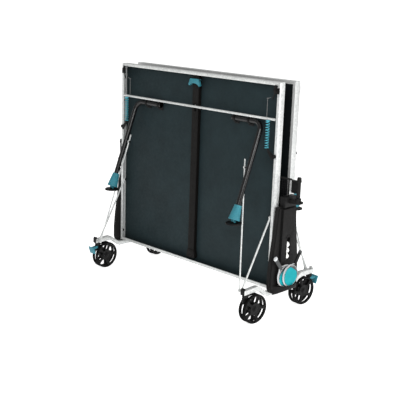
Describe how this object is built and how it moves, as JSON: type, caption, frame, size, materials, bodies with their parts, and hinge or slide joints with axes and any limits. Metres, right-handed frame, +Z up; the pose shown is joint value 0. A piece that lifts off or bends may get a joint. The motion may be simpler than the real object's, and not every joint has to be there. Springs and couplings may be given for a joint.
{
  "type": "folding table tennis table",
  "caption": "Folding table tennis table on twin-wheel casters, shown folded upright for storage, with side modules for balls and bats and a raised net.",
  "frame": {"origin": "on the floor under the middle of the table, midway between the folded halves", "axes": "+X across the 1.525 m width of the boards, +Y from the near half to the far half, +Z up"},
  "size_m": [1.83, 0.8048, 1.562],
  "materials": {
    "galvanised": "hot-dip galvanised steel with a fine spangle",
    "slate_laminate": "satin resin laminate with white border lines on the playing face",
    "brace_steel": "dark brown-black powder coat",
    "black_plastic": "moulded black nylon, fine grain",
    "charcoal_plastic": "moulded charcoal plastic, fine texture",
    "black_steel": "black satin powder coat",
    "turquoise_plastic": "satin turquoise moulding",
    "spring_coating": "turquoise coated spring wire",
    "wheel_rubber": "black moulded wheel with a soft tread",
    "net_mesh": "black knotted mesh with a woven top tape",
    "ball_plastic": "matte white celluloid-free plastic",
    "bat_rubber": "turquoise textured bat face with a pale edge band"
  },
  "bodies": {
    "chassis": {"base_frame": "galvanised", "beam_end_caps": "black_plastic", "module_left": "charcoal_plastic", "module_right": "charcoal_plastic", "net_brackets": "black_plastic", "bat_front": "bat_rubber", "bat_rear": "bat_rubber", "balls": "ball_plastic"},
    "net_frame": {"net_uprights": "black_plastic", "net": "net_mesh"},
    "caster_near_left": {"caster_fork_near_left": "black_plastic"},
    "wheel_near_left_outer": {"wheel_near_left_outer": "wheel_rubber"},
    "wheel_near_left_inner": {"wheel_near_left_inner": "wheel_rubber"},
    "pedal_near_left": {"brake_pedal_near_left": "turquoise_plastic"},
    "caster_near_right": {"caster_fork_near_right": "black_plastic"},
    "wheel_near_right_outer": {"wheel_near_right_outer": "wheel_rubber"},
    "wheel_near_right_inner": {"wheel_near_right_inner": "wheel_rubber"},
    "caster_far_left": {"caster_fork_far_left": "black_plastic"},
    "wheel_far_left_outer": {"wheel_far_left_outer": "wheel_rubber"},
    "wheel_far_left_inner": {"wheel_far_left_inner": "wheel_rubber"},
    "caster_far_right": {"caster_fork_far_right": "black_plastic"},
    "wheel_far_right_outer": {"wheel_far_right_outer": "wheel_rubber"},
    "wheel_far_right_inner": {"wheel_far_right_inner": "wheel_rubber"},
    "pedal_far_right": {"brake_pedal_far_right": "turquoise_plastic"},
    "near_carriage": {"near_guide_blocks": "black_plastic"},
    "near_top": {"near_panel": "slate_laminate", "near_aprons": "galvanised", "near_brace": "brace_steel", "near_brackets": "black_plastic", "near_springs": "spring_coating", "near_fasteners": "galvanised"},
    "near_release": {"near_release_bar": "galvanised"},
    "near_grip_lever": {"near_grip": "turquoise_plastic"},
    "near_leg_frame": {"near_legs": "black_steel"},
    "near_hook_left": {"near_latch_left": "black_plastic"},
    "near_foot_body_left": {"near_foot_left": "turquoise_plastic"},
    "near_pad_body_left": {"near_pad_left": "black_plastic"},
    "near_hook_right": {"near_latch_right": "black_plastic"},
    "near_foot_body_right": {"near_foot_right": "turquoise_plastic"},
    "near_pad_body_right": {"near_pad_right": "black_plastic"},
    "near_strut_pair": {"near_struts": "galvanised"},
    "near_rod_pair": {"near_control_rods": "galvanised"},
    "far_carriage": {"far_guide_blocks": "black_plastic"},
    "far_top": {"far_panel": "slate_laminate", "far_aprons": "galvanised", "far_brace": "brace_steel", "far_brackets": "black_plastic", "far_springs": "spring_coating", "far_fasteners": "galvanised"},
    "far_release": {"far_release_bar": "galvanised"},
    "far_grip_lever": {"far_grip": "turquoise_plastic"},
    "far_leg_frame": {"far_legs": "black_steel"},
    "far_hook_left": {"far_latch_left": "black_plastic"},
    "far_foot_body_left": {"far_foot_left": "turquoise_plastic"},
    "far_pad_body_left": {"far_pad_left": "black_plastic"},
    "far_hook_right": {"far_latch_right": "black_plastic"},
    "far_foot_body_right": {"far_foot_right": "turquoise_plastic"},
    "far_pad_body_right": {"far_pad_right": "black_plastic"},
    "far_strut_pair": {"far_struts": "galvanised"},
    "far_rod_pair": {"far_control_rods": "galvanised"}
  },
  "joints": [
    {"name": "net_height", "type": "slide", "parent": "chassis", "child": "net_frame", "axis": [0, 0, -1], "range_m": [0, 0.029]},
    {"name": "near_left_swivel", "type": "hinge", "parent": "chassis", "child": "caster_near_left", "pos_m": [-0.757, -0.335, 0.215], "axis": [0, 0, 1], "continuous": true},
    {"name": "near_left_outer_wheel_spin", "type": "hinge", "parent": "caster_near_left", "child": "wheel_near_left_outer", "pos_m": [-0.757, -0.265, 0.1], "axis": [1, 0, 0], "continuous": true},
    {"name": "near_left_inner_wheel_spin", "type": "hinge", "parent": "caster_near_left", "child": "wheel_near_left_inner", "pos_m": [-0.757, -0.265, 0.1], "axis": [1, 0, 0], "continuous": true},
    {"name": "near_left_brake", "type": "hinge", "parent": "caster_near_left", "child": "pedal_near_left", "pos_m": [-0.757, -0.347, 0.172], "axis": [1, 0, 0], "range_deg": [0, 10]},
    {"name": "near_right_swivel", "type": "hinge", "parent": "chassis", "child": "caster_near_right", "pos_m": [0.757, -0.335, 0.215], "axis": [0, 0, 1], "continuous": true},
    {"name": "near_right_outer_wheel_spin", "type": "hinge", "parent": "caster_near_right", "child": "wheel_near_right_outer", "pos_m": [0.76432, -0.26538, 0.1], "axis": [0.9945, -0.1045, 0], "continuous": true},
    {"name": "near_right_inner_wheel_spin", "type": "hinge", "parent": "caster_near_right", "child": "wheel_near_right_inner", "pos_m": [0.76432, -0.26538, 0.1], "axis": [0.9945, -0.1045, 0], "continuous": true},
    {"name": "far_left_swivel", "type": "hinge", "parent": "chassis", "child": "caster_far_left", "pos_m": [-0.757, 0.335, 0.215], "axis": [0, 0, 1], "continuous": true},
    {"name": "far_left_outer_wheel_spin", "type": "hinge", "parent": "caster_far_left", "child": "wheel_far_left_outer", "pos_m": [-0.74726, 0.26568, 0.1], "axis": [-0.9903, -0.1392, 0], "continuous": true},
    {"name": "far_left_inner_wheel_spin", "type": "hinge", "parent": "caster_far_left", "child": "wheel_far_left_inner", "pos_m": [-0.74726, 0.26568, 0.1], "axis": [-0.9903, -0.1392, 0], "continuous": true},
    {"name": "far_right_swivel", "type": "hinge", "parent": "chassis", "child": "caster_far_right", "pos_m": [0.757, 0.335, 0.215], "axis": [0, 0, 1], "continuous": true},
    {"name": "far_right_outer_wheel_spin", "type": "hinge", "parent": "caster_far_right", "child": "wheel_far_right_outer", "pos_m": [0.74968, 0.26538, 0.1], "axis": [-0.9945, 0.1045, 0], "continuous": true},
    {"name": "far_right_inner_wheel_spin", "type": "hinge", "parent": "caster_far_right", "child": "wheel_far_right_inner", "pos_m": [0.74968, 0.26538, 0.1], "axis": [-0.9945, 0.1045, 0], "continuous": true},
    {"name": "far_right_brake", "type": "hinge", "parent": "caster_far_right", "child": "pedal_far_right", "pos_m": [0.75825, 0.34693, 0.172], "axis": [-0.9945, 0.1045, 0], "range_deg": [0, 10]},
    {"name": "near_lift", "type": "slide", "parent": "chassis", "child": "near_carriage", "axis": [0, 0, 1], "range_m": [0, 0.468]},
    {"name": "near_fold", "type": "hinge", "parent": "near_carriage", "child": "near_top", "pos_m": [0, -0.082, 0.262], "axis": [1, 0, 0], "range_deg": [0, 90.01]},
    {"name": "near_leg_fold", "type": "hinge", "parent": "near_top", "child": "near_leg_frame", "pos_m": [0, -0.08, 1.29], "axis": [-1, 0, 0], "range_deg": [0, 69.11]},
    {"name": "near_strut_pivot", "type": "hinge", "parent": "near_top", "child": "near_strut_pair", "pos_m": [0, -0.093, 0.677], "axis": [-1, 0, 0], "range_deg": [0, 43.77]},
    {"name": "near_rod_pivot", "type": "hinge", "parent": "near_leg_frame", "child": "near_rod_pair", "pos_m": [0, -0.19059, 1.0004], "axis": [1, 0, 0], "range_deg": [0, 65.93]},
    {"name": "near_foot_left_screw", "type": "slide", "parent": "near_leg_frame", "child": "near_foot_body_left", "axis": [0, -0.3567, -0.9342], "range_m": [0, 0.044]},
    {"name": "near_foot_right_screw", "type": "slide", "parent": "near_leg_frame", "child": "near_foot_body_right", "axis": [0, -0.3567, -0.9342], "range_m": [0, 0.044]},
    {"name": "near_pad_left_tilt", "type": "hinge", "parent": "near_foot_body_left", "child": "near_pad_body_left", "pos_m": [0, -0.31687, 0.66969], "axis": [-1, 0, 0], "range_deg": [0, 20.91]},
    {"name": "near_pad_right_tilt", "type": "hinge", "parent": "near_foot_body_right", "child": "near_pad_body_right", "pos_m": [0, -0.31687, 0.66969], "axis": [-1, 0, 0], "range_deg": [0, 20.91]},
    {"name": "near_release", "type": "slide", "parent": "near_top", "child": "near_release", "axis": [0, 0, -1], "range_m": [0, 0.008], "stiffness_N_per_m": 2600, "springref_m": -0.02, "deforming": ["near_springs"]},
    {"name": "near_grip_squeeze", "type": "hinge", "parent": "near_top", "child": "near_grip_lever", "pos_m": [0, -0.092, 1.512], "axis": [-1, 0, 0], "range_deg": [0, 12.01]},
    {"name": "near_hook_left_swing", "type": "hinge", "parent": "near_top", "child": "near_hook_left", "pos_m": [-0.735, -0.1115, 1.507], "axis": [0, -1, 0], "range_deg": [0, 6.01]},
    {"name": "near_hook_right_swing", "type": "hinge", "parent": "near_top", "child": "near_hook_right", "pos_m": [0.735, -0.1115, 1.507], "axis": [0, 1, 0], "range_deg": [0, 6.01]},
    {"name": "far_lift", "type": "slide", "parent": "chassis", "child": "far_carriage", "axis": [0, 0, 1], "range_m": [0, 0.468]},
    {"name": "far_fold", "type": "hinge", "parent": "far_carriage", "child": "far_top", "pos_m": [0, 0.082, 0.262], "axis": [-1, 0, 0], "range_deg": [0, 90.01]},
    {"name": "far_leg_fold", "type": "hinge", "parent": "far_top", "child": "far_leg_frame", "pos_m": [0, 0.08, 1.29], "axis": [1, 0, 0], "range_deg": [0, 69.11]},
    {"name": "far_strut_pivot", "type": "hinge", "parent": "far_top", "child": "far_strut_pair", "pos_m": [0, 0.093, 0.677], "axis": [1, 0, 0], "range_deg": [0, 43.77]},
    {"name": "far_rod_pivot", "type": "hinge", "parent": "far_leg_frame", "child": "far_rod_pair", "pos_m": [0, 0.19059, 1.0004], "axis": [-1, 0, 0], "range_deg": [0, 65.93]},
    {"name": "far_foot_left_screw", "type": "slide", "parent": "far_leg_frame", "child": "far_foot_body_left", "axis": [0, 0.3567, -0.9342], "range_m": [0, 0.044]},
    {"name": "far_foot_right_screw", "type": "slide", "parent": "far_leg_frame", "child": "far_foot_body_right", "axis": [0, 0.3567, -0.9342], "range_m": [0, 0.044]},
    {"name": "far_pad_left_tilt", "type": "hinge", "parent": "far_foot_body_left", "child": "far_pad_body_left", "pos_m": [0, 0.31687, 0.66969], "axis": [1, 0, 0], "range_deg": [0, 20.91]},
    {"name": "far_pad_right_tilt", "type": "hinge", "parent": "far_foot_body_right", "child": "far_pad_body_right", "pos_m": [0, 0.31687, 0.66969], "axis": [1, 0, 0], "range_deg": [0, 20.91]},
    {"name": "far_release", "type": "slide", "parent": "far_top", "child": "far_release", "axis": [0, 0, -1], "range_m": [0, 0.008], "stiffness_N_per_m": 2600, "springref_m": -0.02, "deforming": ["far_springs"]},
    {"name": "far_grip_squeeze", "type": "hinge", "parent": "far_top", "child": "far_grip_lever", "pos_m": [0, 0.092, 1.512], "axis": [1, 0, 0], "range_deg": [0, 12.01]},
    {"name": "far_hook_right_swing", "type": "hinge", "parent": "far_top", "child": "far_hook_right", "pos_m": [0.735, 0.1115, 1.507], "axis": [0, 1, 0], "range_deg": [0, 6.01]},
    {"name": "far_hook_left_swing", "type": "hinge", "parent": "far_top", "child": "far_hook_left", "pos_m": [-0.735, 0.1115, 1.507], "axis": [0, -1, 0], "range_deg": [0, 6.01]}
  ],
  "couplings": [
    {"joint": "near_fold", "follows": "near_lift", "rad_per_m": 3.3564},
    {"joint": "near_leg_fold", "follows": "near_lift", "rad_per_m": 2.577},
    {"joint": "near_strut_pivot", "follows": "near_lift", "rad_per_m": 1.6318},
    {"joint": "near_rod_pivot", "follows": "near_lift", "rad_per_m": 2.4584},
    {"joint": "near_pad_left_tilt", "follows": "near_lift", "rad_per_m": 0.77943},
    {"joint": "near_pad_right_tilt", "follows": "near_lift", "rad_per_m": 0.77943},
    {"joint": "near_grip_squeeze", "follows": "near_release", "rad_per_m": 26.18},
    {"joint": "near_hook_left_swing", "follows": "near_release", "rad_per_m": 13.09},
    {"joint": "near_hook_right_swing", "follows": "near_release", "rad_per_m": 13.09},
    {"joint": "far_fold", "follows": "far_lift", "rad_per_m": 3.3564},
    {"joint": "far_leg_fold", "follows": "far_lift", "rad_per_m": 2.577},
    {"joint": "far_strut_pivot", "follows": "far_lift", "rad_per_m": 1.6318},
    {"joint": "far_rod_pivot", "follows": "far_lift", "rad_per_m": 2.4584},
    {"joint": "far_pad_left_tilt", "follows": "far_lift", "rad_per_m": 0.77943},
    {"joint": "far_pad_right_tilt", "follows": "far_lift", "rad_per_m": 0.77943},
    {"joint": "far_grip_squeeze", "follows": "far_release", "rad_per_m": 26.18},
    {"joint": "far_hook_right_swing", "follows": "far_release", "rad_per_m": 13.09},
    {"joint": "far_hook_left_swing", "follows": "far_release", "rad_per_m": 13.09}
  ]
}
